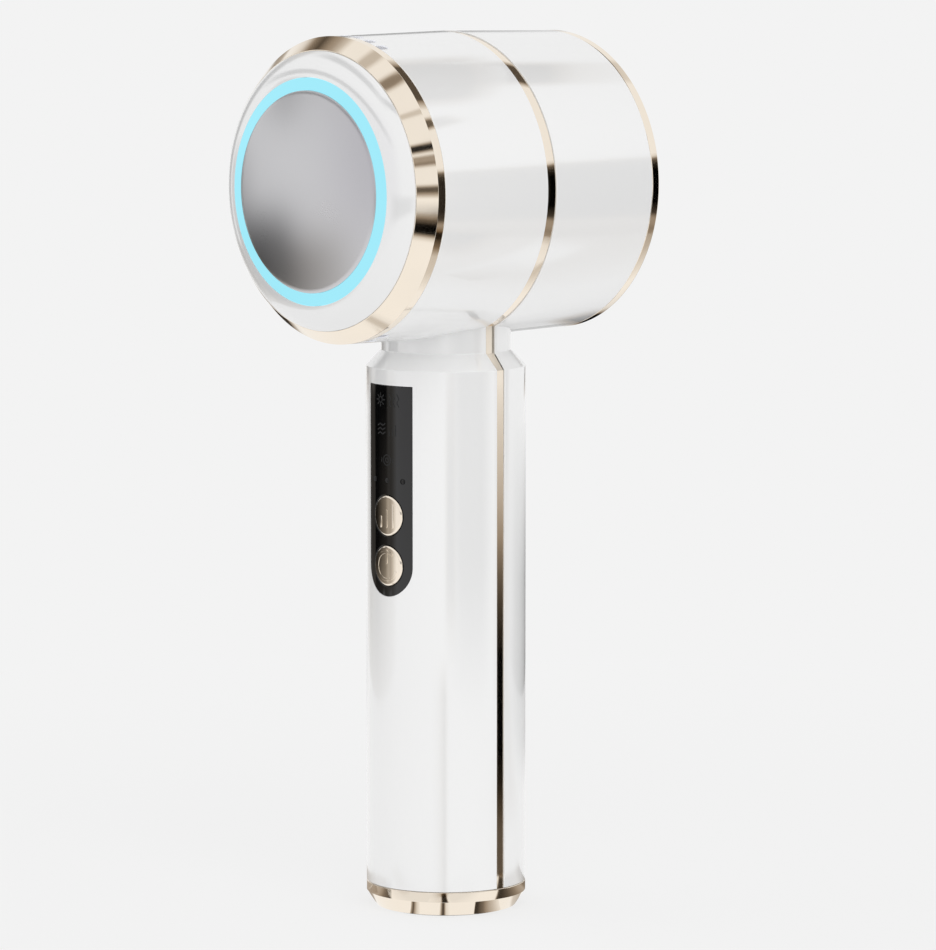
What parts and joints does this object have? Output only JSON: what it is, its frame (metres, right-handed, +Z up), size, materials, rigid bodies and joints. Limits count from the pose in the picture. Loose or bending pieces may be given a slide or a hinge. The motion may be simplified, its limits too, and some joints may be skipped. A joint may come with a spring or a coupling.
{
  "type": "facial toning device",
  "caption": "Hand-held facial toning device: a drum head with a domed metal treatment plate and a light ring, on a round handle with a black control panel and push buttons.",
  "frame": {"origin": "on the handle's axis, on the underside of the base pad that the device stands on", "axes": "+Z up along the handle, -Y out of the treatment plate, +X to the right as seen by the person whose face is treated"},
  "size_m": [0.065, 0.0732, 0.187],
  "materials": {
    "white_shell": "polished white moulded plastic",
    "white_nose": "high-gloss white plastic",
    "champagne_metal": "polished champagne-gold anodised metal",
    "stainless": "fine satin stainless steel",
    "light_guide": "cyan light guide, lit",
    "silicone": "grey silicone seal",
    "rubber_pad": "soft grey rubber",
    "dark_plastic": "black moulded plastic",
    "grey_plastic": "grey moulded plastic",
    "white_plastic": "white moulded plastic",
    "black_gloss": "high-gloss black plastic",
    "circuit_board": "green solder mask on glass fibre",
    "chip": "black epoxy packages",
    "led": "clear light sources",
    "aluminium_disc": "turned aluminium",
    "capacitor": "sleeved aluminium cans",
    "piezo_ceramic": "fired piezo ceramic",
    "lead_wire": "insulated wire",
    "sensor": "epoxy bead",
    "transformer": "ferrite core with taped winding",
    "bright_steel": "plated steel",
    "weight_iron": "sintered metal",
    "ribbon": "flat ribbon cable",
    "battery_wrap": "shrink-wrapped cell"
  },
  "bodies": {
    "root": {"front_shell": "white_shell", "rear_shell": "white_shell", "trim_frame": "champagne_metal", "front_bezel": "champagne_metal", "nose_ring": "white_nose", "light_ring": "light_guide", "treatment_plate": "stainless", "plate_seal": "silicone", "plate_carrier": "dark_plastic", "carrier_screws": "bright_steel", "led_ring_board": "circuit_board", "ring_leds": "led", "coupling_disc": "aluminium_disc", "ultrasonic_transducer": "piezo_ceramic", "transducer_leads": "lead_wire", "temperature_sensor": "sensor", "driver_board": "circuit_board", "driver_transformer": "transformer", "driver_capacitors": "capacitor", "driver_chips": "chip", "driver_screws": "bright_steel", "motor_bracket": "grey_plastic", "vibration_motor": "bright_steel", "motor_leads": "lead_wire", "head_screws": "bright_steel", "rear_ring": "champagne_metal", "rear_cap": "white_shell", "head_cable": "ribbon", "control_panel": "black_gloss", "symbol_light_frame": "white_plastic", "symbol_leds": "led", "indicator_pipes": "white_plastic", "indicator_leds": "led", "main_board": "circuit_board", "board_chips": "chip", "buzzer": "dark_plastic", "mode_switch": "grey_plastic", "power_switch": "grey_plastic", "board_screws": "bright_steel", "chassis": "grey_plastic", "chassis_screws": "bright_steel", "battery_cell": "battery_wrap", "battery_tabs": "bright_steel", "charge_board": "circuit_board", "charge_chips": "chip", "usb_socket": "bright_steel", "usb_tongue": "dark_plastic", "base_cap": "champagne_metal", "base_pad": "rubber_pad", "base_screws": "bright_steel"},
    "mode_button": {"mode_button": "champagne_metal", "mode_stem": "dark_plastic"},
    "power_button": {"power_button": "champagne_metal", "power_stem": "dark_plastic"},
    "motor_rotor": {"motor_shaft": "bright_steel", "eccentric_weight": "weight_iron"}
  },
  "joints": [
    {"name": "mode_press", "type": "slide", "parent": "root", "child": "mode_button", "axis": [0, 1, 0], "range_m": [0, 0.0004], "stiffness_N_per_m": 1500},
    {"name": "power_press", "type": "slide", "parent": "root", "child": "power_button", "axis": [0, 1, 0], "range_m": [0, 0.0004], "stiffness_N_per_m": 1500},
    {"name": "motor_spin", "type": "hinge", "parent": "root", "child": "motor_rotor", "pos_m": [0, 0, 0.1545], "axis": [0, 1, 0], "continuous": true}
  ]
}
